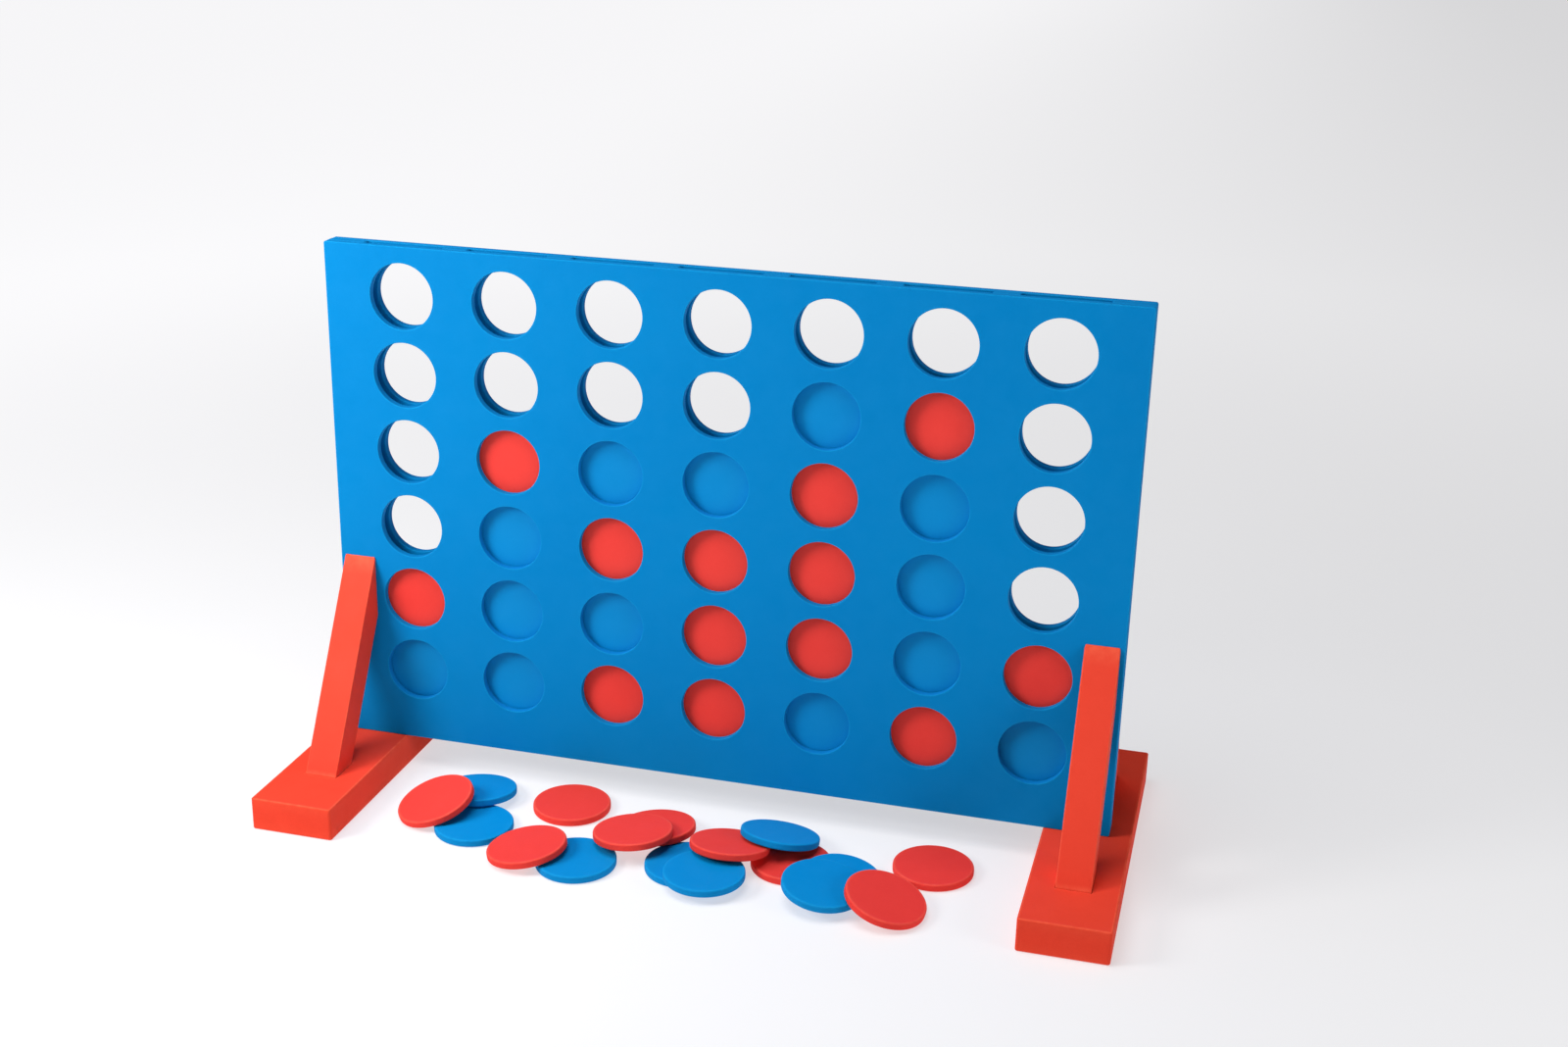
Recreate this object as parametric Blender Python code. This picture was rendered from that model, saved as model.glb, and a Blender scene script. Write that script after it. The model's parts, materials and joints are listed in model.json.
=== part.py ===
"""Giant four in a row: a foam lawn game.

A tall two-sided board stands on the floor in a pair of A-frame feet.  The board
is a sandwich: a front and a back panel, both pierced with the same grid of round
windows, held apart by upright dividers, two end strips and a bottom strip, so
that every column of windows has a slot of its own, open at the top.  Flat foam
discs drop into the slots and stack on the bottom strip.  The rest of the discs
lie on the floor in front of the board.

Metres, +Z up.  The origin is on the floor, midway between the two feet, in the
middle plane of the board.  +X runs along the board, the front looks towards -Y.
"""
import math

import bmesh
import bpy
import numpy as np
from mathutils import Matrix, Vector

# ----------------------------------------------------------------- dimensions
COLUMNS = 7
ROWS = 6
PITCH_X = 0.115             # window to window along the board
PITCH_Z = 0.085             # window to window up the board: one disc
WINDOW_R = 0.0355
WINDOW_SIDES = 20

GAP = 0.0003                # air left between pieces that touch

DISC_R = 0.04235
DISC_T = 0.008
DISC_SIDES = 24

PANEL_T = 0.008             # foam sheet of the two panels
SLOT_T = 0.010              # clear depth of the disc slot
BOARD_T = 2 * PANEL_T + SLOT_T
END_MARGIN = 0.086          # outer window centre to the end of the board
TOP_MARGIN = 0.053          # top window centre to the top edge
BOTTOM_MARGIN = 0.084       # bottom window centre to the bottom edge
BOARD_W = (COLUMNS - 1) * PITCH_X + 2 * END_MARGIN
BOARD_H = (ROWS - 1) * PITCH_Z + TOP_MARGIN + BOTTOM_MARGIN
DIVIDER_W = 0.028
CHANNEL_W = PITCH_X - DIVIDER_W

BASE_X = 0.408              # middle of each foot, from the middle of the board
BASE_W = 0.092
BASE_L = 0.400
BASE_H = 0.036

STRUT_W = 0.036
STRUT_T = 0.0335
STRUT_LEAN = math.radians(29.0)
STRUT_RISE = 0.214          # base top to the tip of the strut
TENON = 0.0136              # how far a strut's foot goes into its socket
SOCKET = 0.0140
SOCKET_PLAY = 0.0004

BOARD_Z0 = BASE_H + GAP                      # underside of the board
BOARD_Z1 = BOARD_Z0 + BOARD_H
ROW1_Z = BOARD_Z0 + BOTTOM_MARGIN            # centre of the bottom row
STRIP_TOP = ROW1_Z - DISC_R - GAP            # what the bottom discs stand on

# The stacks in the board, left to right, each from the bottom up.
STACKS = ["BR", "BBBR", "RBRB", "RRRB", "BRRRB", "RBBBR", "BR"]

# The loose discs: name, colour, middle in plan (m), and the discs beneath.
LOOSE = [
    ("loose_blue_2", "B", -0.2305, -0.1295, []),
    ("loose_blue_1", "B", -0.2535, -0.0645, ["loose_blue_2"]),
    ("loose_red_1", "R", -0.2800, -0.1135, ["loose_blue_2", "loose_blue_1"]),
    ("loose_red_2", "R", -0.1465, -0.0565, []),
    ("loose_blue_3", "B", -0.1000, -0.1680, []),
    ("loose_red_3", "R", -0.1535, -0.1682, ["loose_blue_3"]),
    ("loose_red_7", "R", 0.1145, -0.1065, []),
    ("loose_blue_4", "B", 0.0110, -0.1435, []),
    ("loose_blue_5", "B", 0.0390, -0.1685, ["loose_blue_4"]),
    ("loose_red_5", "R", -0.0395, -0.0860, ["loose_blue_4"]),
    ("loose_red_4", "R", -0.0540, -0.1200,
     ["loose_red_5", "loose_blue_4", "loose_blue_3"]),
    ("loose_red_6", "R", 0.0505, -0.1155,
     ["loose_blue_4", "loose_blue_5", "loose_red_7"]),
    ("loose_blue_6", "B", 0.0950, -0.0805, ["loose_red_6", "loose_red_7"]),
    ("loose_blue_8", "B", 0.1745, -0.1345, ["loose_red_7"]),
    ("loose_blue_7", "B", 0.1620, -0.1650, ["loose_red_7", "loose_blue_8"]),
    ("loose_red_8", "R", 0.2265, -0.1680, ["loose_blue_7", "loose_blue_8"]),
    ("loose_red_9", "R", 0.2585, -0.0740, []),
]
LOOSE_GAP = 0.0005

# ------------------------------------------------------------------ clean slate
for old in list(bpy.data.objects):
    bpy.data.objects.remove(old, do_unlink=True)


# -------------------------------------------------------------------- materials
def foam(name, colour):
    """Matt closed-cell foam."""
    m = bpy.data.materials.new(name)
    m.use_nodes = True
    shader = next(n for n in m.node_tree.nodes if n.type == "BSDF_PRINCIPLED")
    shader.inputs["Base Color"].default_value = (*colour, 1.0)
    shader.inputs["Roughness"].default_value = 0.85
    shader.inputs["Metallic"].default_value = 0.0
    m.diffuse_color = (*colour, 1.0)
    return m


BOARD_FOAM = foam("board_blue_foam", (0.0, 0.205, 0.640))
STAND_FOAM = foam("stand_red_foam", (0.745, 0.040, 0.045))
DISC_FOAM = {
    "R": foam("disc_red_foam", (0.760, 0.050, 0.045)),
    "B": foam("disc_blue_foam", (0.0, 0.220, 0.680)),
}
COLOUR_NAME = {"R": "red", "B": "blue"}


# ----------------------------------------------------------------------- makers
def add(name, mesh, location=(0, 0, 0), parent=None):
    """Put a mesh in the scene; location is a world position."""
    ob = bpy.data.objects.new(name, mesh)
    bpy.context.scene.collection.objects.link(ob)
    if parent is not None:
        ob.parent = parent
        ob.location = Vector(location) - parent.location
    else:
        ob.location = location
    return ob


def empty(name, location):
    ob = bpy.data.objects.new(name, None)
    ob.empty_display_size = 0.05
    ob.location = location
    bpy.context.scene.collection.objects.link(ob)
    return ob


def box_mesh(name, size, material, centre=(0, 0, 0)):
    bm = bmesh.new()
    bmesh.ops.create_cube(
        bm, size=1.0,
        matrix=Matrix.Translation(centre) @ Matrix.Diagonal((*size, 1.0)))
    me = bpy.data.meshes.new(name)
    bm.to_mesh(me)
    bm.free()
    if material:
        me.materials.append(material)
    return me


def disc_mesh(name, radius, depth, sides, material):
    """A round slug standing on its flat face, its middle at the origin."""
    bm = bmesh.new()
    bmesh.ops.create_cone(bm, cap_ends=True, segments=sides, radius1=radius,
                          radius2=radius, depth=depth)
    me = bpy.data.meshes.new(name)
    bm.to_mesh(me)
    bm.free()
    me.materials.append(material)
    me.shade_smooth()
    me.set_sharp_from_angle(angle=math.radians(40))
    return me


def extrusion_mesh(name, profile, width, material):
    """A (y, z) outline pushed out along X, its middle on x = 0."""
    bm = bmesh.new()
    face = bm.faces.new([bm.verts.new((-width / 2, y, z)) for y, z in profile])
    out = bmesh.ops.extrude_face_region(bm, geom=[face])
    verts = [v for v in out["geom"] if isinstance(v, bmesh.types.BMVert)]
    bmesh.ops.translate(bm, vec=(width, 0, 0), verts=verts)
    bmesh.ops.recalc_face_normals(bm, faces=bm.faces[:])
    me = bpy.data.meshes.new(name)
    bm.to_mesh(me)
    bm.free()
    me.materials.append(material)
    return me


def cut(ob, cutter):
    mod = ob.modifiers.new("cut_" + cutter.name, "BOOLEAN")
    mod.operation = "DIFFERENCE"
    mod.solver = "EXACT"
    mod.object = cutter
    cutter.hide_render = True
    cutter.display_type = "WIRE"


def column_x(c):
    return (c - (COLUMNS - 1) / 2) * PITCH_X


def row_z(r):
    return ROW1_Z + r * PITCH_Z


# ------------------------------------------------------------------------ stands
FACE_Y = BOARD_T / 2 + GAP                  # where a strut's tip meets the board
REACH = math.tan(STRUT_LEAN) * STRUT_RISE
FOOT_OUT = FACE_Y + REACH                   # outer edge of the strut's foot
FOOT_IN = FOOT_OUT - STRUT_T / math.cos(STRUT_LEAN)
TIP_Z = BASE_H + STRUT_RISE
HEEL_Z = TIP_Z - STRUT_T / math.sin(STRUT_LEAN)


def strut_profile(side):
    """Slanting bar: a plumb tip against the board, a tenon at the foot."""
    pts = [
        (FOOT_OUT, BASE_H - TENON), (FOOT_OUT, BASE_H), (FACE_Y, TIP_Z),
        (FACE_Y, HEEL_Z), (FOOT_IN, BASE_H), (FOOT_IN, BASE_H - TENON)]
    return [(side * y, z) for y, z in pts]


def socket_cutter(name, parent, x):
    """Two blind sockets in a base, one for each strut."""
    bm = bmesh.new()
    long = FOOT_OUT - FOOT_IN + 2 * SOCKET_PLAY
    for side in (-1, 1):
        y = side * (FOOT_OUT + FOOT_IN) / 2
        size = (STRUT_W + 2 * SOCKET_PLAY, long, 2 * SOCKET)
        bmesh.ops.create_cube(
            bm, size=1.0,
            matrix=Matrix.Translation((0, y, BASE_H)) @ Matrix.Diagonal((*size, 1)))
    me = bpy.data.meshes.new(name)
    bm.to_mesh(me)
    bm.free()
    return add(name, me, (x, 0, 0), parent)


for hand, sign in (("left", -1), ("right", 1)):
    stand = empty(hand + "_stand", (sign * BASE_X, 0, 0))
    base = add(hand + "_base",
               box_mesh(hand + "_base", (BASE_W, BASE_L, BASE_H), STAND_FOAM,
                        (0, 0, BASE_H / 2)),
               (sign * BASE_X, 0, 0), stand)
    cut(base, socket_cutter(hand + "_socket_cutter", stand, sign * BASE_X))
    for end, side in (("front", -1), ("rear", 1)):
        add(f"{hand}_{end}_strut",
            extrusion_mesh(f"{hand}_{end}_strut", strut_profile(side), STRUT_W,
                           STAND_FOAM),
            (sign * BASE_X, 0, 0), stand)

# ------------------------------------------------------------------------- board
board = empty("board", (0, 0, BOARD_Z0))

bm = bmesh.new()
for c in range(COLUMNS):
    for r in range(ROWS):
        bmesh.ops.create_cone(
            bm, cap_ends=True, segments=WINDOW_SIDES, radius1=WINDOW_R,
            radius2=WINDOW_R, depth=BOARD_T * 1.5,
            matrix=Matrix.Translation((column_x(c), 0, row_z(r)))
            @ Matrix.Rotation(math.pi / 2, 4, "X"))
windows_mesh = bpy.data.meshes.new("window_cutter")
bm.to_mesh(windows_mesh)
bm.free()
windows = add("window_cutter", windows_mesh, (0, 0, 0), board)
windows.hide_render = True
windows.display_type = "WIRE"

for name, side in (("front_panel", -1), ("back_panel", 1)):
    panel = add(name,
                box_mesh(name, (BOARD_W, PANEL_T, BOARD_H), BOARD_FOAM,
                         (0, 0, BOARD_H / 2)),
                (0, side * (SLOT_T + PANEL_T) / 2, BOARD_Z0), board)
    cut(panel, windows)

CORE_T = SLOT_T - 2 * GAP
END_W = END_MARGIN - CHANNEL_W / 2
for hand, sign in (("left", -1), ("right", 1)):
    add(hand + "_end_strip",
        box_mesh(hand + "_end_strip", (END_W, CORE_T, BOARD_H), BOARD_FOAM,
                 (0, 0, BOARD_H / 2)),
        (sign * (BOARD_W - END_W) / 2, 0, BOARD_Z0), board)

STRIP_W = BOARD_W - 2 * END_W - 2 * GAP
STRIP_H = STRIP_TOP - BOARD_Z0
add("bottom_strip",
    box_mesh("bottom_strip", (STRIP_W, CORE_T, STRIP_H), BOARD_FOAM,
             (0, 0, STRIP_H / 2)),
    (0, 0, BOARD_Z0), board)

DIVIDER_H = BOARD_Z1 - STRIP_TOP - GAP
for i in range(COLUMNS - 1):
    name = f"divider_{i + 1}"
    add(name,
        box_mesh(name, (DIVIDER_W, CORE_T, DIVIDER_H), BOARD_FOAM,
                 (0, 0, DIVIDER_H / 2)),
        ((column_x(i) + column_x(i + 1)) / 2, 0, STRIP_TOP + GAP), board)

# ------------------------------------------------------------ discs in the board
SLUG = {k: disc_mesh(f"disc_{COLOUR_NAME[k]}", DISC_R, DISC_T, DISC_SIDES,
                     DISC_FOAM[k]) for k in "RB"}

for c, stack in enumerate(STACKS):
    for r, k in enumerate(stack):
        ob = add(f"disc_c{c + 1}_r{r + 1}_{COLOUR_NAME[k]}", SLUG[k],
                 (column_x(c), 0, row_z(r)), board)
        ob.rotation_euler = (math.pi / 2, 0, 0)

# ------------------------------------------------------------------- loose discs
# Each loose disc comes to rest by its own weight: with its middle at its place in
# plan, it takes the lowest plane that still clears the floor and the discs
# beneath.  A disc is (middle of its underside, slope of its plane in x and y).
RIM = 36
TURN = np.linspace(0.0, 2.0 * math.pi, RIM, endpoint=False)


def disc_axes(slope):
    normal = np.array([-slope[0], -slope[1], 1.0])
    normal /= np.linalg.norm(normal)
    s = math.hypot(slope[0], slope[1])
    if s > 1e-9:
        up = np.array([slope[0], slope[1], s * s]) / (s * math.sqrt(1 + s * s))
    else:
        up = np.array([1.0, 0.0, 0.0])
    return up, np.cross(normal, up), normal


def rim(disc, h):
    """Points round the edge of a disc, h above its underside."""
    c, slope = disc
    e, f, n = disc_axes(slope)
    return (c + h * n + DISC_R * (np.cos(TURN)[:, None] * e
                                  + np.sin(TURN)[:, None] * f))


def height_at(disc, h, xy):
    c, slope = disc
    q = c + h * disc_axes(slope)[2]
    return q[2] + (xy - q[:2]) @ slope


def covers(disc, h, xy):
    c, slope = disc
    e, f, n = disc_axes(slope)
    p = np.column_stack([xy, height_at(disc, h, xy)]) - (c + h * n)
    return (p @ e) ** 2 + (p @ f) ** 2 <= (DISC_R + 0.0004) ** 2


def contacts(upper, lower):
    """Points of lower's top that lie under upper."""
    a = rim(lower, DISC_T)
    b = rim(upper, 0.0)[:, :2]
    b = b[covers(lower, DISC_T, b)]
    return np.vstack([a[covers(upper, 0.0, a[:, :2])],
                      np.column_stack([b, height_at(lower, DISC_T, b)])])


def lowest(f, lo=-0.8, hi=0.8, steps=40):
    """Where a convex function of one number is least."""
    for _ in range(steps):
        a, b = lo + (hi - lo) / 3, hi - (hi - lo) / 3
        if f(a) < f(b):
            hi = b
        else:
            lo = a
    return (lo + hi) / 2


def settle(x, y, beneath):
    c, slope = np.array([x, y, 0.0]), np.zeros(2)
    if not beneath:
        return c, slope
    for turn in range(8):
        disc = (c, slope)
        edge = rim(disc, 0.0)
        pts = [np.column_stack([edge[:, :2], np.zeros(RIM)])]
        pts += [contacts(disc, b) + [0, 0, LOOSE_GAP] for b in beneath]
        pts = np.vstack(pts)
        d, h = pts[:, :2] - c[:2], pts[:, 2]

        def height(sx, sy):
            return (h - d[:, 0] * sx - d[:, 1] * sy).max()

        def best_y(sx):
            return lowest(lambda sy: height(sx, sy))

        sx = lowest(lambda s: height(s, best_y(s)))
        new = np.array([sx, best_y(sx)])
        slope = new if turn == 0 else (slope + new) / 2
        c = np.array([x, y, height(slope[0], slope[1])])
    disc = (c, slope)
    lift = -rim(disc, 0.0)[:, 2].min()
    for b in beneath:
        p = contacts(disc, b)
        if len(p):
            gap = (height_at(disc, 0.0, p[:, :2]) - p[:, 2]).min()
            lift = max(lift, LOOSE_GAP - gap)
    return c + np.array([0, 0, lift]), slope


rested = {}
for name, k, x, y, beneath in LOOSE:
    rested[name] = settle(x, y, [rested[b] for b in beneath])
    c, slope = rested[name]
    e, f, n = disc_axes(slope)
    ob = add(name, SLUG[k])
    turn = Matrix((e, f, n)).transposed().to_4x4()
    ob.matrix_world = Matrix.Translation(Vector(c + n * DISC_T / 2)) @ turn
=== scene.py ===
"""The looks of the giant four in a row: foam sheet board, foam stands and foam discs.

Every piece is built here in mesh code, in metres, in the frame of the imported
part, and takes its place from the node that it stands for.
"""

import json
import math

import bmesh
import bpy
import numpy as np
from mathutils import Matrix, Vector
from mathutils.geometry import delaunay_2d_cdt


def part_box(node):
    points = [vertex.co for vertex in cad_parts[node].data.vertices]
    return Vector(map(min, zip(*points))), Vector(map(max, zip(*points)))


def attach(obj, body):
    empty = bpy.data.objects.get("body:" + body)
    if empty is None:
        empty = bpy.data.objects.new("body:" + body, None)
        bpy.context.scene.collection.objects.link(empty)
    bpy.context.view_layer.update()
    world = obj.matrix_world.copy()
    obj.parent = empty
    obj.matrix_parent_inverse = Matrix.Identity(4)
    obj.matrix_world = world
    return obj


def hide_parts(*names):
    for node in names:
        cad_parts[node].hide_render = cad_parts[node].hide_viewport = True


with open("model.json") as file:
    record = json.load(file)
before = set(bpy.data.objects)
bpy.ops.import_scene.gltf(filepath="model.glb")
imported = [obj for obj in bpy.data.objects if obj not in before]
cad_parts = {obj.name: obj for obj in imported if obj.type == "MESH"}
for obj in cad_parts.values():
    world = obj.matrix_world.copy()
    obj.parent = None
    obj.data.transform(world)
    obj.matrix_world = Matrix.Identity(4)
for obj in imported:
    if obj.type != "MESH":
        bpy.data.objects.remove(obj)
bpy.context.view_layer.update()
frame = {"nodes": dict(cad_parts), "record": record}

SCENE = bpy.context.scene
NODES = frame["nodes"]
BODY_OF = {}
for body_name, members in frame["record"]["behaviour"]["bodies"].items():
    for member in members:
        BODY_OF[member] = body_name


# ------------------------------------------------------------------ camera first
AZ, EL, ROLL = math.radians(14.454), math.radians(19.741), math.radians(1.386)
EYE = Vector((0.5388, -1.8160, 1.0100))
forward = Vector((-math.sin(AZ) * math.cos(EL), math.cos(AZ) * math.cos(EL),
                  -math.sin(EL)))
level = Vector((math.cos(AZ), math.sin(AZ), 0.0))
upward = level.cross(forward)
right = math.cos(ROLL) * level + math.sin(ROLL) * upward
up = -math.sin(ROLL) * level + math.cos(ROLL) * upward
cam_data = bpy.data.cameras.new("camera")
cam_data.sensor_width = 36.0
cam_data.lens = 36.0 * 1960.7 / 1600.0
cam_data.clip_start = 0.01
cam_data.clip_end = 200.0
camera = bpy.data.objects.new("camera", cam_data)
SCENE.collection.objects.link(camera)
camera.matrix_world = (Matrix.Translation(EYE)
                       @ Matrix((right, up, -forward)).transposed().to_4x4())
SCENE.camera = camera


# --------------------------------------------------------------------- materials
def foam_material(name, colour, shade, warm, roughness, specular, sheen,
                  cut=False):
    """Closed-cell foam.  The sheet's moulded skin has a close, slightly leathery
    grain; a cut face is more open and shows its cells.  The attribute 'edge' is 1
    on the rounded edges, which are painted lighter and warmer: a painted highlight."""
    m = bpy.data.materials.new(name)
    m.use_nodes = True
    nt = m.node_tree
    nodes, links = nt.nodes, nt.links
    bsdf = next(n for n in nodes if n.type == "BSDF_PRINCIPLED")
    bsdf.inputs["Metallic"].default_value = 0.0
    bsdf.inputs["IOR"].default_value = 1.46
    bsdf.inputs["Specular IOR Level"].default_value = specular
    bsdf.inputs["Sheen Weight"].default_value = sheen
    bsdf.inputs["Sheen Roughness"].default_value = 0.55
    bsdf.inputs["Sheen Tint"].default_value = (*warm, 1.0)

    coord = nodes.new("ShaderNodeTexCoord")
    where = coord.outputs["Object"]

    def noise(scale, detail=2.0, rough=0.5, distortion=0.0):
        n = nodes.new("ShaderNodeTexNoise")
        n.inputs["Scale"].default_value = scale
        n.inputs["Detail"].default_value = detail
        n.inputs["Roughness"].default_value = rough
        n.inputs["Distortion"].default_value = distortion
        links.new(where, n.inputs["Vector"])
        return n.outputs["Fac"]

    def cells(scale, feature="F1", random=1.0):
        n = nodes.new("ShaderNodeTexVoronoi")
        n.feature = feature
        n.inputs["Scale"].default_value = scale
        n.inputs["Randomness"].default_value = random
        links.new(where, n.inputs["Vector"])
        return n.outputs["Distance"]

    def span(value, a, b, c, d):
        n = nodes.new("ShaderNodeMapRange")
        n.clamp = True
        for k, v in zip(("From Min", "From Max", "To Min", "To Max"), (a, b, c, d)):
            n.inputs[k].default_value = v
        links.new(value, n.inputs["Value"])
        return n.outputs["Result"]

    def calc(op, a, b):
        n = nodes.new("ShaderNodeMath")
        n.operation = op
        for i, v in enumerate((a, b)):
            if isinstance(v, (int, float)):
                n.inputs[i].default_value = v
            else:
                links.new(v, n.inputs[i])
        return n.outputs[0]

    def mix(fac, a, b, kind="MIX"):
        n = nodes.new("ShaderNodeMix")
        n.data_type = "RGBA"
        n.blend_type = kind
        fi = next(s for s in n.inputs if s.identifier == "Factor_Float")
        ai = next(s for s in n.inputs if s.identifier == "A_Color")
        bi = next(s for s in n.inputs if s.identifier == "B_Color")
        for s, v in ((fi, fac), (ai, a), (bi, b)):
            if isinstance(v, (int, float)):
                s.default_value = v
            elif isinstance(v, tuple):
                s.default_value = (*v, 1.0)
            else:
                links.new(v, s)
        return next(s for s in n.outputs if s.identifier == "Result_Color")

    # colour: broad drift from sheet to sheet, soft mottling, and painted shade in the
    # pores' pits
    drift = span(noise(5.0, 2.0, 0.55), 0.30, 0.70, 0.0, 1.0)
    mottle = span(noise(46.0, 3.0, 0.6), 0.32, 0.70, 0.0, 1.0)
    speck = span(noise(620.0 if not cut else 430.0, 2.0, 0.6), 0.36, 0.64, 0.0, 1.0)
    pore_size = 1500.0 if not cut else 900.0
    pores_and_painted_shade = span(cells(pore_size), 0.10, 0.42, 1.0, 0.0)
    lighter = tuple(min(1.0, v * 1.05 + 0.006) for v in colour)
    c = mix(calc("MULTIPLY", drift, 0.45), colour, shade)
    c = mix(calc("MULTIPLY", mottle, 0.30), c, lighter)
    c = mix(calc("MULTIPLY", speck, 0.16 if not cut else 0.24), c, shade)
    # painted shade: the pits of the pores are darker in colour
    c = mix(calc("MULTIPLY", pores_and_painted_shade, 0.20 if not cut else 0.34), c, shade)
    edge = nodes.new("ShaderNodeAttribute")
    edge.attribute_type = "GEOMETRY"
    edge.attribute_name = "edge"
    # painted highlight: the rounded edges are made lighter and warmer in colour
    painted_edge_highlight = calc("MULTIPLY", edge.outputs["Fac"],
                span(noise(140.0, 3.0, 0.65), 0.34, 0.66, 0.20, 0.62))
    c = mix(painted_edge_highlight, c, warm)
    links.new(c, bsdf.inputs["Base Color"])

    # roughness: the skin is a little slicker where it has been rubbed
    rub = span(noise(22.0, 3.0, 0.6), 0.3, 0.7, roughness - 0.07, roughness + 0.06)
    rough = calc("ADD", rub, calc("MULTIPLY", pores_and_painted_shade, 0.10))
    links.new(rough, bsdf.inputs["Roughness"])

    # relief: slack in the sheet, leathery grain, pores
    slack = calc("MULTIPLY", noise(11.0, 1.0, 0.4), 0.00050)
    grain = calc("MULTIPLY", noise(330.0 if not cut else 260.0, 3.0, 0.62),
                 0.000085 if not cut else 0.00013)
    pits = calc("MULTIPLY", pores_and_painted_shade, -0.000045 if not cut else -0.00012)
    height = calc("ADD", calc("ADD", slack, grain), pits)
    bump = nodes.new("ShaderNodeBump")
    bump.inputs["Strength"].default_value = 1.0
    bump.inputs["Distance"].default_value = 1.0
    links.new(height, bump.inputs["Height"])
    links.new(bump.outputs["Normal"], bsdf.inputs["Normal"])
    m.diffuse_color = (*colour, 1.0)
    return m


RED = dict(colour=(0.900, 0.054, 0.040), shade=(0.820, 0.038, 0.034),
           warm=(1.000, 0.140, 0.088))
STAND_RED = dict(colour=(0.890, 0.062, 0.027), shade=(0.815, 0.045, 0.023),
                 warm=(1.000, 0.150, 0.070))
BLUE = dict(colour=(0.000, 0.268, 0.640), shade=(0.000, 0.226, 0.590),
            warm=(0.006, 0.345, 0.720))
BOARD_BLUE = dict(colour=(0.000, 0.230, 0.575), shade=(0.000, 0.194, 0.525),
                  warm=(0.004, 0.305, 0.655))


def pair(name, tones, **kw):
    return [foam_material(name, **tones, **kw),
            foam_material(name + "_cut", **tones, **{**kw, "roughness": 0.80,
                                                     "specular": 0.12}, cut=True)]


MATERIALS = {
    "board_blue_foam": pair("board_blue_foam", BOARD_BLUE, roughness=0.62,
                            specular=0.05, sheen=0.0),
    "stand_red_foam": pair("stand_red_foam", STAND_RED, roughness=0.66,
                           specular=0.22, sheen=0.03),
    "disc_red_foam": pair("disc_red_foam", RED, roughness=0.60,
                          specular=0.20, sheen=0.03),
    "disc_blue_foam": pair("disc_blue_foam", BLUE, roughness=0.60,
                           specular=0.10, sheen=0.01),
}


# -------------------------------------------------------------------- mesh maker
class Shell:
    """Collects points with their normals and faces, then makes the mesh."""

    def __init__(self):
        self.points, self.normals, self.edge = [], [], []
        self.faces, self.kinds = [], []

    def add(self, points, normals, edge=0.0):
        start = len(self.points)
        self.points.extend(points)
        self.normals.extend(normals)
        n = len(points)
        self.edge.extend([edge] * n if np.isscalar(edge) else edge)
        return list(range(start, start + n))

    def face(self, loop, kind=0):
        self.faces.append(loop)
        self.kinds.append(kind)

    def bridge(self, a, b, kind=0):
        """Quads between two closed rings of the same length."""
        n = len(a)
        for i in range(n):
            j = (i + 1) % n
            self.face([a[i], a[j], b[j], b[i]], kind)

    def make(self, name, slot, place=None):
        pts = np.array(self.points, float)
        nrm = np.array(self.normals, float)
        nrm /= np.linalg.norm(nrm, axis=1)[:, None]
        if place is not None:
            turn = np.array(place.to_3x3())
            pts = pts @ turn.T + np.array(place.translation)
            nrm = nrm @ turn.T
        # every face looks the way that its points' normals say
        faces = [list(f) for f in self.faces]
        for size in {len(f) for f in faces}:
            at = [k for k, f in enumerate(faces) if len(f) == size]
            idx = np.array([faces[k] for k in at])
            p = pts[idx]
            n = np.zeros((len(at), 3))
            for i in range(1, size - 1):
                n += np.cross(p[:, i] - p[:, 0], p[:, i + 1] - p[:, 0])
            wrong = (n * nrm[idx].sum(1)).sum(1) < 0
            for k, w in zip(at, wrong):
                if w:
                    faces[k].reverse()
        me = bpy.data.meshes.new(name)
        me.from_pydata(pts.tolist(), [], faces)
        me.polygons.foreach_set("material_index", self.kinds)
        att = me.attributes.new("edge", "FLOAT", "POINT")
        att.data.foreach_set("value", np.array(self.edge, np.float32))
        for m in MATERIALS[slot]:
            me.materials.append(m)
        me.shade_smooth()
        me.normals_split_custom_set_from_vertices(nrm.tolist())
        ob = bpy.data.objects.new(name, me)
        SCENE.collection.objects.link(ob)
        return ob


def stand_for(ob, node):
    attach(ob, BODY_OF[node])
    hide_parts(node)
    return ob


def arc(steps):
    return [math.pi / 2 * i / steps for i in range(steps + 1)]


# An outline is an (n, 4) array: u, v and the unit normal that leaves the foam.
def rounded_outline(u0, u1, v0, v1, radius, corner=6, pace=0.02):
    rows = []
    corners = [(u1, v0, -90), (u1, v1, 0), (u0, v1, 90), (u0, v0, 180)]
    for k, (cu, cv, start) in enumerate(corners):
        mu = cu - radius if cu == u1 else cu + radius
        mv = cv - radius if cv == v1 else cv + radius
        for i in range(corner + 1):
            a = math.radians(start + 90 * i / corner)
            rows.append((mu + radius * math.cos(a), mv + radius * math.sin(a),
                         math.cos(a), math.sin(a)))
        nu, nv, nstart = corners[(k + 1) % 4]
        a = math.radians(nstart)
        mu2 = nu - radius if nu == u1 else nu + radius
        mv2 = nv - radius if nv == v1 else nv + radius
        end = (mu2 + radius * math.cos(a), mv2 + radius * math.sin(a))
        here = rows[-1]
        run = math.hypot(end[0] - here[0], end[1] - here[1])
        cuts = max(1, int(round(run / pace)))
        for i in range(1, cuts):
            t = i / cuts
            rows.append((here[0] + t * (end[0] - here[0]),
                         here[1] + t * (end[1] - here[1]), here[2], here[3]))
    return np.array(rows)


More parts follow.
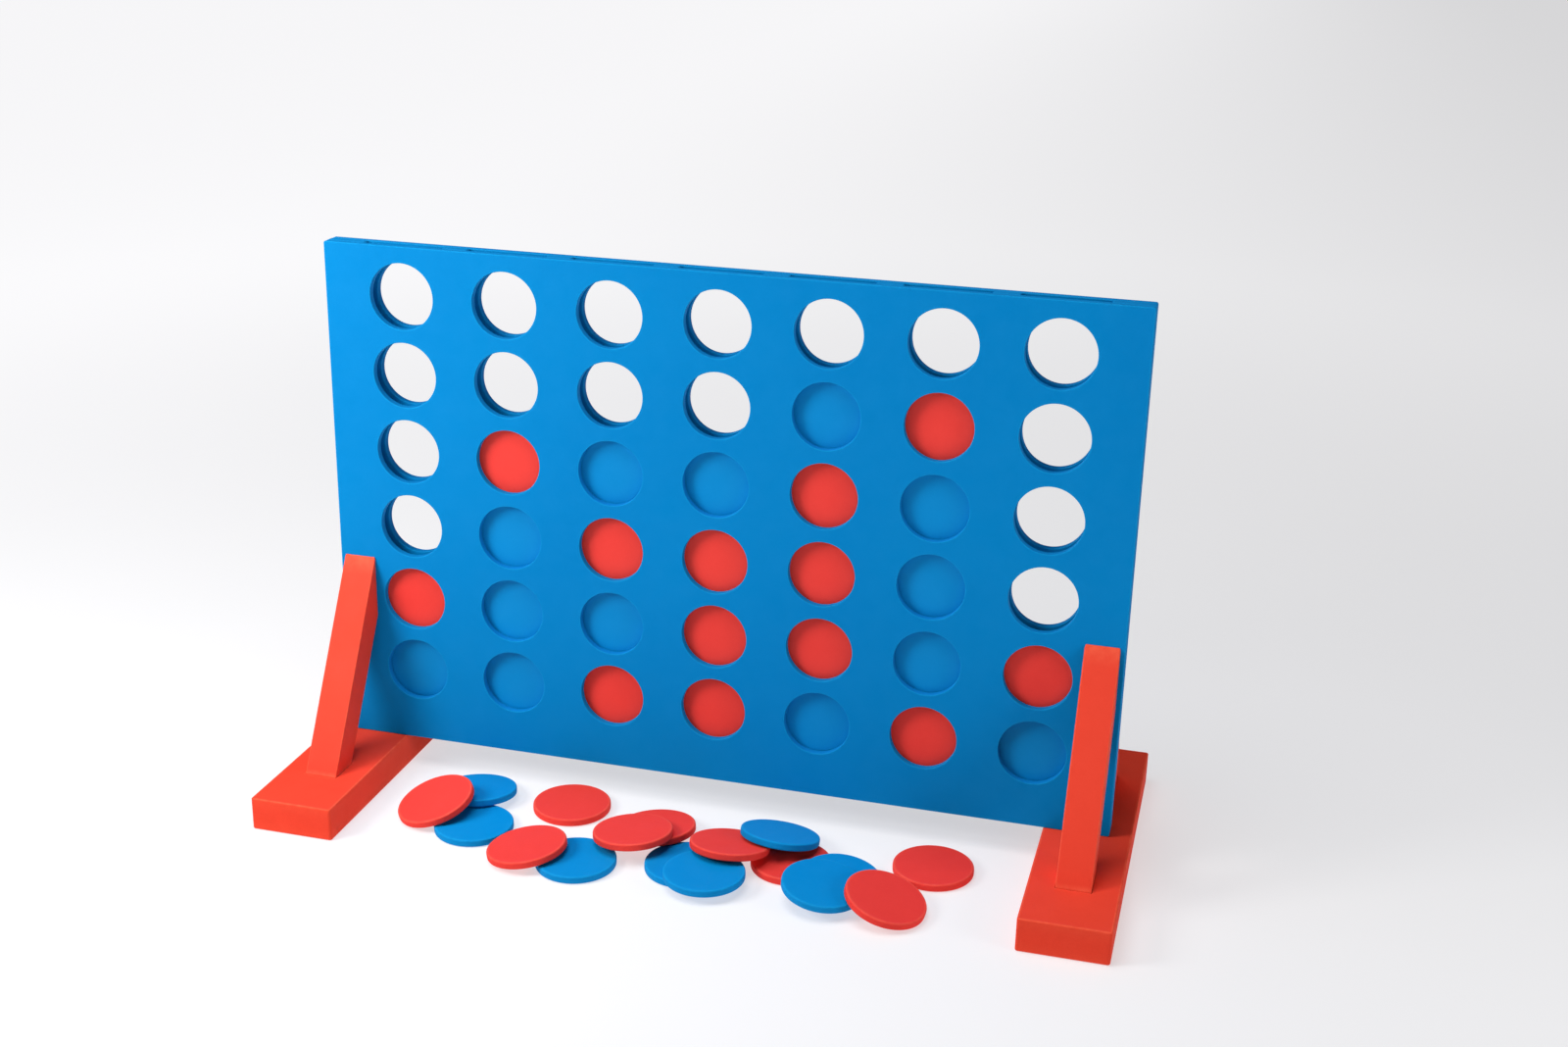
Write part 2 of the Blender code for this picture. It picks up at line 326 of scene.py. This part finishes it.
def circle_hole(u, v, radius, sides, wobble=0.0, seed=0.0):
    """A round hole; its normals point to its middle."""
    rows = []
    for i in range(sides):
        a = 2 * math.pi * i / sides
        r = radius + wobble * (math.sin(2 * a + seed) + 0.6 * math.sin(3 * a + 2 * seed)
                               + 0.3 * math.sin(5 * a + 3 * seed)) / 1.9
        rows.append((u + r * math.cos(a), v + r * math.sin(a),
                     -math.cos(a), -math.sin(a)))
    return np.array(rows)


def inset(outline, d):
    return outline[:, :2] - d * outline[:, 2:]


def flat_region(shell, outer, inner_loops, to_xyz, w, normal, spacing, soft):
    """Fills the plane w between an outer ring of points and holes.  Returns the
    numbers of the rings' points in the shell.  Each ring gets a second one a
    little way in, where the painted edge highlight has faded out."""
    loops = [outer] + inner_loops
    rings = []
    for k, (outline, d) in enumerate(loops):
        rings.append(inset(outline, d))
        rings.append(inset(outline, d + soft))
    pts2, owner, edges = [], [], []
    for k, ring in enumerate(rings):
        start = len(pts2)
        pts2.extend([tuple(p) for p in ring])
        owner.extend([k] * len(ring))
        edges.extend([(start + i, start + (i + 1) % len(ring))
                      for i in range(len(ring))])
    lo, hi = rings[1].min(0), rings[1].max(0)
    if spacing:
        holes = [(inset(o, d + soft)).mean(0) for o, d in inner_loops]
        reach = [np.linalg.norm(inset(o, d + soft) - h, axis=1).max()
                 for (o, d), h in zip(inner_loops, holes)]
        nu = max(1, int((hi[0] - lo[0]) / spacing))
        nv = max(1, int((hi[1] - lo[1]) / spacing))
        for i in range(1, nu):
            for j in range(1, nv):
                p = lo + (hi - lo) * (i / nu, j / nv)
                if all(np.linalg.norm(p - h) > r + spacing * 0.45
                       for h, r in zip(holes, reach)):
                    pts2.append(tuple(p))
                    owner.append(-1)
    out = delaunay_2d_cdt([Vector(p) for p in pts2], edges, [], 0, 1e-7)
    verts, faces, orig = out[0], out[2], out[3]
    new_of = {}
    for new, olds in enumerate(orig):
        for o in olds:
            new_of[o] = new
    # the outer ring of each loop carries the painted edge highlight
    painted_edge_highlight = np.zeros(len(verts))
    for o, k in enumerate(owner):
        if k >= 0 and k % 2 == 0:
            painted_edge_highlight[new_of[o]] = 1.0
    xyz = [to_xyz(v.x, v.y, w) for v in verts]
    at = shell.add(xyz, [normal] * len(xyz), painted_edge_highlight.tolist())
    def inside(ring, points):
        a, b = ring, np.roll(ring, -1, axis=0)
        rise = b[:, 1] - a[:, 1]
        rise = np.where(np.abs(rise) < 1e-12, 1e-12, rise)
        px, py = points[:, :1], points[:, 1:]
        hit = (a[:, 1] > py) != (b[:, 1] > py)
        x = (b[:, 0] - a[:, 0]) * (py - a[:, 1]) / rise + a[:, 0]
        return ((hit & (px < x)).sum(1) % 2).astype(bool)

    flat2 = np.array([[v.x, v.y] for v in verts])
    mids = np.array([flat2[list(f)].mean(0) for f in faces])
    keep = inside(rings[0], mids)
    for ring in rings[2::2]:
        low, high = ring.min(0), ring.max(0)
        near = np.where(((mids > low) & (mids < high)).all(1))[0]
        if len(near):
            keep[near[inside(ring, mids[near])]] = False
    for f, k in zip(faces, keep):
        if k:
            shell.face([at[i] for i in f], 0)
    result, start = [], 0
    for k, ring in enumerate(rings):
        if k % 2 == 0:
            result.append([at[new_of[start + i]] for i in range(len(ring))])
        start += len(ring)
    return result


def wall(shell, ring, outline, to_xyz, to_dir, w_from, w_to, r_from, r_to, steps,
         cut_from=0.5, barrel=0.0, rows=3):
    """Skin round an outline: over the rounded edge at w_from, along the wall and
    round the edge at w_to, which it ends on.  Returns the last ring."""
    side = 1.0 if w_from > w_to else -1.0
    out2 = outline[:, 2:]
    last = ring
    stages = []
    for t in arc(steps)[1:]:
        stages.append((r_from * (1 - math.sin(t)), w_from - side * r_from
                       * (1 - math.cos(t)), math.cos(t) * side, math.sin(t),
                       1.0 - 0.75 * (t / (math.pi / 2)) ** 2, t > math.pi / 4))
    top, bottom = w_from - side * r_from, w_to + side * r_to
    for i in range(1, rows):
        t = i / rows
        bulge = 4 * t * (1 - t) * barrel
        stages.append((-bulge, top + (bottom - top) * t, 0.0, 1.0, 0.0, True))
    if r_to is not None and r_to > 0:
        for t in reversed(arc(steps)):
            stages.append((r_to * (1 - math.sin(t)), w_to + side * r_to
                           * (1 - math.cos(t)), -math.cos(t) * side, math.sin(t),
                           1.0 - 0.75 * (t / (math.pi / 2)) ** 2, t > math.pi / 8))
    else:
        stages.append((0.0, w_to, 0.0, 1.0, 0.0, True))
    # the fifth number of each stage is the strength of the painted edge highlight
    for d, w, nw, no, painted_edge_highlight, is_cut in stages:
        flat = inset(outline, d)
        pts = [to_xyz(p[0], p[1], w) for p in flat]
        nrm = [to_dir(no * n[0], no * n[1], nw) for n in out2]
        now = shell.add(pts, nrm, painted_edge_highlight)
        shell.bridge(last, now, 1 if is_cut else 0)
        last = now
    return last


def slab(name, slot, outer, holes, pockets, to_xyz, to_dir, w0, w1, r_edge, r_hole,
         steps=4, spacing=0.02, soft=0.0012):
    """A sheet or block from w0 to w1, w1 on top: holes go through, pockets are
    (outline, depth)."""
    s = Shell()
    n_up, n_down = to_dir(0, 0, 1), to_dir(0, 0, -1)
    top = flat_region(s, (outer, r_edge),
                      [(h, r_hole) for h in holes]
                      + [(p, r_hole) for p, _ in pockets],
                      to_xyz, w1, n_up, spacing, soft)
    base = flat_region(s, (outer, r_edge), [(h, r_hole) for h in holes],
                       to_xyz, w0, n_down, spacing, soft)

    remap = {}

    def join(ring, outline, r, end_ring):
        # the wall's last ring lies on the lower flat's own ring
        last = wall(s, ring, outline, to_xyz, to_dir, w1, w0, r, r, steps)
        remap.update(zip(last, end_ring))

    join(top[0], outer, r_edge, base[0])
    for k, h in enumerate(holes):
        join(top[1 + k], h, r_hole, base[1 + k])
    for k, (p, depth) in enumerate(pockets):
        last = wall(s, top[1 + len(holes) + k], p, to_xyz, to_dir, w1, w1 - depth,
                    r_hole, 0, steps)
        floor = s.add([s.points[i] for i in last], [n_up] * len(last), 0.0)
        s.face(floor, 1)
    s.faces = [[remap.get(i, i) for i in f] for f in s.faces]
    # drop the points that nothing uses
    used = sorted({i for f in s.faces for i in f})
    new = {o: i for i, o in enumerate(used)}
    s.points = [s.points[i] for i in used]
    s.normals = [s.normals[i] for i in used]
    s.edge = [s.edge[i] for i in used]
    s.faces = [[new[i] for i in f] for f in s.faces]
    return s.make(name, slot)


# ------------------------------------------------------------------------- board
PITCH_X, PITCH_Z = 0.115, 0.085
lo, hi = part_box("front_panel")
X0, X1, Z0, Z1 = lo.x, hi.x, lo.z, hi.z
ROW1_Z = Z0 + 0.084
WINDOW_R = 0.0355


def windows():
    found = []
    for c in range(7):
        for r in range(6):
            found.append(circle_hole((c - 3) * PITCH_X, ROW1_Z + r * PITCH_Z,
                                     WINDOW_R, 80, 0.00010, 1.7 * c + 2.3 * r))
    return found


for node, front in (("front_panel", True), ("back_panel", False)):
    lo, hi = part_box(node)
    # w grows outward from the board's middle plane
    sign = -1.0 if front else 1.0
    w_out = max(abs(lo.y), abs(hi.y))
    w_in = min(abs(lo.y), abs(hi.y))
    ob = slab(node + "_foam", "board_blue_foam",
              rounded_outline(lo.x, hi.x, lo.z, hi.z, 0.0022, 5, 0.016),
              windows(), [],
              lambda u, v, w, g=sign: (u, g * w, v),
              lambda a, b, c, g=sign: (a, g * c, b),
              w_in, w_out, 0.0008, 0.0007, steps=3, spacing=0.016, soft=0.0010)
    stand_for(ob, node)


def bar(node, slot, r, soft=0.0008, axis="z", spacing=0.0, corner=None):
    """A plain foam bar or strip: a rounded block in the node's own box."""
    lo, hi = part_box(node)
    corner = max(corner or r, r + soft + 0.0003)
    if axis == "y":
        outline = rounded_outline(lo.x, hi.x, lo.z, hi.z, corner, 4, 0.03)
        ob = slab(node + "_foam", slot, outline, [], [],
                  lambda u, v, w: (u, w, v), lambda a, b, c: (a, c, b),
                  lo.y, hi.y, r, r, steps=3, spacing=spacing, soft=soft)
    else:
        outline = rounded_outline(lo.x, hi.x, lo.y, hi.y, corner, 4, 0.03)
        ob = slab(node + "_foam", slot, outline, [], [],
                  lambda u, v, w: (u, v, w), lambda a, b, c: (a, b, c),
                  lo.z, hi.z, r, r, steps=3, spacing=spacing, soft=soft)
    return stand_for(ob, node)


for node in (["left_end_strip", "right_end_strip", "bottom_strip"]
             + [f"divider_{i}" for i in range(1, 7)]):
    bar(node, "board_blue_foam", 0.0006, axis="y")


# ------------------------------------------------------------------------ stands
FACE_Y = 0.0133
STRUT_LEAN = math.radians(29.0)
STRUT_T = 0.0335
STRUT_W = 0.036
SOCKET_PLAY = 0.0004
SOCKET_DEPTH = 0.0140

for hand in ("left", "right"):
    base = hand + "_base"
    lo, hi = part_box(base)
    middle = (lo.x + hi.x) / 2
    s_lo, s_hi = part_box(hand + "_rear_strut")
    foot_out = s_hi.y
    foot_in = foot_out - STRUT_T / math.cos(STRUT_LEAN)
    pockets = []
    for side in (-1, 1):
        y0, y1 = sorted((side * (foot_in - SOCKET_PLAY),
                         side * (foot_out + SOCKET_PLAY)))
        pocket = rounded_outline(middle - STRUT_W / 2 - SOCKET_PLAY,
                                 middle + STRUT_W / 2 + SOCKET_PLAY,
                                 y0, y1, 0.0009, 3, 0.012)
        pocket[:, 2:] *= -1.0
        pockets.append((pocket, SOCKET_DEPTH))
    ob = slab(base + "_foam", "stand_red_foam",
              rounded_outline(lo.x, hi.x, lo.y, hi.y, 0.0030, 7, 0.02),
              [], pockets,
              lambda u, v, w: (u, v, w), lambda a, b, c: (a, b, c),
              lo.z, hi.z, 0.0016, 0.0006, steps=5, spacing=0.02, soft=0.0010)
    stand_for(ob, base)


def strut(node):
    """A slanting square bar: its tip is cut plumb to bear on the board, and its
    foot is cut to a short tenon.  All its edges are softened."""
    lo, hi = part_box(node)
    side = 1.0 if hi.y > 0 else -1.0
    out = max(abs(lo.y), abs(hi.y))
    inn = out - STRUT_T / math.cos(STRUT_LEAN)
    face = min(abs(lo.y), abs(hi.y))
    top, foot = hi.z, lo.z
    shoulder = top - (out - face) / math.tan(STRUT_LEAN)
    heel = top - STRUT_T / math.sin(STRUT_LEAN)
    profile = [(out, foot), (out, shoulder), (face, top), (face, heel),
               (inn, shoulder), (inn, foot)]
    bm = bmesh.new()
    ring = [bm.verts.new((lo.x, side * y, z)) for y, z in profile]
    f = bm.faces.new(ring)
    ext = bmesh.ops.extrude_face_region(bm, geom=[f])
    bmesh.ops.translate(bm, vec=(hi.x - lo.x, 0, 0),
                        verts=[v for v in ext["geom"]
                               if isinstance(v, bmesh.types.BMVert)])
    bmesh.ops.recalc_face_normals(bm, faces=bm.faces[:])
    bmesh.ops.bevel(bm, geom=bm.edges[:], offset=0.0013, segments=4, profile=0.5,
                    affect="EDGES", clamp_overlap=True)
    # short faces down the bar keep its shading even
    for k in range(1, 12):
        z = foot + (top - foot) * k / 12
        bmesh.ops.bisect_plane(bm, geom=bm.verts[:] + bm.edges[:] + bm.faces[:],
                               plane_co=(0, 0, z), plane_no=(0, 0, 1), dist=1e-6)
    bm.normal_update()
    me = bpy.data.meshes.new(node + "_foam")
    bm.to_mesh(me)
    bm.free()
    return me


def weighted_finish(me, node, slot, edge_area):
    """Point normals that follow the large faces, and the edge attribute that marks
    where the painted edge highlight goes.
    """
    count = len(me.vertices)
    acc = np.zeros((count, 3))
    small = np.zeros(count)
    touched = np.zeros(count)
    for p in me.polygons:
        n = np.array(p.normal)
        a = p.area ** 2
        for i in p.vertices:
            acc[i] += a * n
            touched[i] += 1
            small[i] += p.area < edge_area
    acc /= np.linalg.norm(acc, axis=1)[:, None]
    att = me.attributes.new("edge", "FLOAT", "POINT")
    att.data.foreach_set("value", (small / touched > 0.6).astype(np.float32))
    for m in MATERIALS[slot]:
        me.materials.append(m)
    me.shade_smooth()
    me.normals_split_custom_set_from_vertices(acc.tolist())
    ob = bpy.data.objects.new(node + "_foam", me)
    SCENE.collection.objects.link(ob)
    return stand_for(ob, node)


for node in ("left_front_strut", "left_rear_strut", "right_front_strut",
             "right_rear_strut"):
    weighted_finish(strut(node), node, "stand_red_foam", 2.2e-5)


# ------------------------------------------------------------------------- discs
DISC_R, DISC_T = 0.04235, 0.008


def disc(node):
    """A die-cut foam disc: flat faces, soft rims, a slightly barrelled edge."""
    co = np.array([v.co for v in NODES[node].data.vertices], float).reshape(-1, 3)
    middle = (co.min(0) + co.max(0)) / 2 if node.startswith("disc_") else None
    normals = np.array([p.normal for p in NODES[node].data.polygons])
    areas = np.array([p.area for p in NODES[node].data.polygons])
    if middle is None:
        # the corners of the rim are shared out evenly, so their mean is the middle
        uniq = np.unique(np.round(co, 6), axis=0)
        far = uniq
        middle = (far.max(0) + far.min(0)) / 2
    k = normals[np.argmax(areas)]
    same = np.abs(normals @ k) > 0.999
    axis = (normals[same] * np.sign(normals[same] @ k)[:, None]
            * areas[same][:, None]).sum(0)
    axis /= np.linalg.norm(axis)
    if abs(axis[2]) > 0.3:
        axis *= np.sign(axis[2])
    else:
        axis *= -np.sign(axis[1])
    ref = np.array([1.0, 0.0, 0.0])
    e = ref - axis * (ref @ axis)
    e /= np.linalg.norm(e)
    f = np.cross(axis, e)
    place = Matrix((Vector(e), Vector(f), Vector(axis))).transposed().to_4x4()
    place.translation = Vector(middle)

    seed = sum(ord(ch) * (i + 3) for i, ch in enumerate(node)) * 0.137
    sides, rim = 96, 0.0017
    s = Shell()
    a = np.linspace(0, 2 * math.pi, sides, endpoint=False)
    wob = 1.0 + 0.0011 * (np.sin(2 * a + seed) + 0.5 * np.sin(3 * a + 2.1 * seed)
                          + 0.3 * np.sin(5 * a + 0.7 * seed)) / 1.8 - 0.0012
    cosa, sina = np.cos(a), np.sin(a)
    R = DISC_R - 0.0001
    h = DISC_T / 2 - 0.00005

    def ring(radius, z, nr, nz, painted_edge_highlight):
        rr = radius * wob
        pts = np.stack([rr * cosa, rr * sina, np.full(sides, z)], 1)
        nrm = np.stack([nr * cosa, nr * sina, np.full(sides, nz)], 1)
        return s.add(pts.tolist(), nrm.tolist(), painted_edge_highlight)

    ends = []
    for sg in (1, -1):
        centre = s.add([(0, 0, sg * h)], [(0, 0, sg)], 0.0)[0]
        last = ring(R * 0.16, sg * h, 0, sg, 0.0)
        for i in range(sides):
            s.face([centre, last[i], last[(i + 1) % sides]], 0)
        for frac in (0.34, 0.52, 0.70, 0.84):
            now = ring(R * frac, sg * h, 0, sg, 0.0)
            s.bridge(last, now, 0)
            last = now
        now = ring(R - rim - 0.0016, sg * h, 0, sg, 0.0)
        s.bridge(last, now, 0)
        last = now
        # the rim's rings carry the painted edge highlight, strongest next to the flat
        # face
        for t in arc(6):
            now = ring(R - rim * (1 - math.sin(t)), sg * (h - rim * (1 - math.cos(t))),
                       math.sin(t), sg * math.cos(t), 0.85 * (1 - (t / 1.5708) ** 2))
            s.bridge(last, now, 1 if t > math.pi / 4 else 0)
            last = now
        ends.append(last)
    low = ends[0]
    span_z = h - rim
    for t in (0.25, 0.5, 0.75):
        z = span_z * (1 - 2 * t)
        now = ring(R + 0.00008 * math.sin(math.pi * t), z, 1, 0, 0.0)
        s.bridge(low, now, 1)
        low = now
    s.bridge(low, ends[1], 1)
    slot = "disc_red_foam" if "red" in node else "disc_blue_foam"
    return stand_for(s.make(node + "_foam", slot, place), node)


for node in sorted(NODES):
    if node.startswith(("disc_", "loose_")):
        disc(node)


# ------------------------------------------------------------- floor and lighting
def floor():
    me = bpy.data.meshes.new("studio_floor")
    n, size = 24, 24.0
    bm = bmesh.new()
    bmesh.ops.create_grid(bm, x_segments=n, y_segments=n, size=size)
    bm.to_mesh(me)
    bm.free()
    m = bpy.data.materials.new("studio_paper")
    m.use_nodes = True
    nt = m.node_tree
    bsdf = next(k for k in nt.nodes if k.type == "BSDF_PRINCIPLED")
    bsdf.inputs["Roughness"].default_value = 0.9
    bsdf.inputs["Specular IOR Level"].default_value = 0.1
    coord = nt.nodes.new("ShaderNodeTexCoord")
    tex = nt.nodes.new("ShaderNodeTexNoise")
    tex.inputs["Scale"].default_value = 3.0
    tex.inputs["Detail"].default_value = 4.0
    ramp = nt.nodes.new("ShaderNodeMapRange")
    ramp.inputs["To Min"].default_value = 0.0
    ramp.inputs["To Max"].default_value = 1.0
    mixer = nt.nodes.new("ShaderNodeMix")
    mixer.data_type = "RGBA"
    nt.links.new(coord.outputs["Object"], tex.inputs["Vector"])
    nt.links.new(tex.outputs["Fac"], ramp.inputs["Value"])
    nt.links.new(ramp.outputs["Result"], mixer.inputs[0])
    a = next(k for k in mixer.inputs if k.identifier == "A_Color")
    b = next(k for k in mixer.inputs if k.identifier == "B_Color")
    a.default_value = (0.400, 0.404, 0.412, 1)
    b.default_value = (0.420, 0.424, 0.430, 1)
    nt.links.new(next(k for k in mixer.outputs if k.identifier == "Result_Color"),
                 bsdf.inputs["Base Color"])
    bsdf.inputs["Emission Color"].default_value = (0.99, 0.985, 1.0, 1)
    # painted light: the paper glows, dimmer near the pieces and brighter further back,
    # as a studio sweep is lit evenly
    dist = nt.nodes.new("ShaderNodeVectorMath")
    dist.operation = "LENGTH"
    nt.links.new(coord.outputs["Object"], dist.inputs[0])
    glow = nt.nodes.new("ShaderNodeMapRange")
    glow.interpolation_type = "SMOOTHSTEP"
    for k, v in zip(("From Min", "From Max", "To Min", "To Max"),
                    (0.4, 3.2, 0.60, 0.83)):
        glow.inputs[k].default_value = v
    nt.links.new(dist.outputs["Value"], glow.inputs["Value"])
    # and painted light: the glow is a little brighter on the key light's side
    axes = nt.nodes.new("ShaderNodeSeparateXYZ")
    nt.links.new(coord.outputs["Object"], axes.inputs[0])
    side = nt.nodes.new("ShaderNodeMapRange")
    side.interpolation_type = "SMOOTHSTEP"
    for k, v in zip(("From Min", "From Max", "To Min", "To Max"),
                    (-2.2, 2.2, 1.10, 0.80)):
        side.inputs[k].default_value = v
    nt.links.new(axes.outputs["X"], side.inputs["Value"])
    both = nt.nodes.new("ShaderNodeMath")
    both.operation = "MULTIPLY"
    nt.links.new(glow.outputs["Result"], both.inputs[0])
    nt.links.new(side.outputs["Result"], both.inputs[1])
    nt.links.new(both.outputs[0], bsdf.inputs["Emission Strength"])
    me.materials.append(m)
    ob = bpy.data.objects.new("studio_floor", me)
    ob.location = (0, 0, -0.0006)
    SCENE.collection.objects.link(ob)


floor()

world = bpy.data.worlds.new("studio")
world.use_nodes = True
bg = next(k for k in world.node_tree.nodes if k.type == "BACKGROUND")
bg.inputs["Color"].default_value = (0.955, 0.975, 1.0, 1)
bg.inputs["Strength"].default_value = 0.05
SCENE.world = world


def area(name, at, aim, size, power, colour):
    data = bpy.data.lights.new(name, "AREA")
    data.shape = "DISK"
    data.size = size
    data.energy = power
    data.color = colour
    ob = bpy.data.objects.new(name, data)
    SCENE.collection.objects.link(ob)
    ob.location = at
    ob.rotation_euler = (Vector(aim) - Vector(at)).to_track_quat("-Z", "Y").to_euler()
    return ob


area("key", (-1.00, -0.76, 0.92), (-0.24, 0.0, 0.18), 0.6, 13.8, (1.0, 0.985, 0.96))
area("fill", (2.0, -0.65, 0.75), (-0.2, 0.0, 0.1), 0.8, 9.0, (1.0, 0.975, 0.95))
area("top", (-0.3, -0.5, 2.4), (0.0, -0.1, 0.0), 1.7, 35.0, (0.98, 0.98, 1.0))

SCENE.view_settings.view_transform = "Standard"
SCENE.view_settings.look = "None"
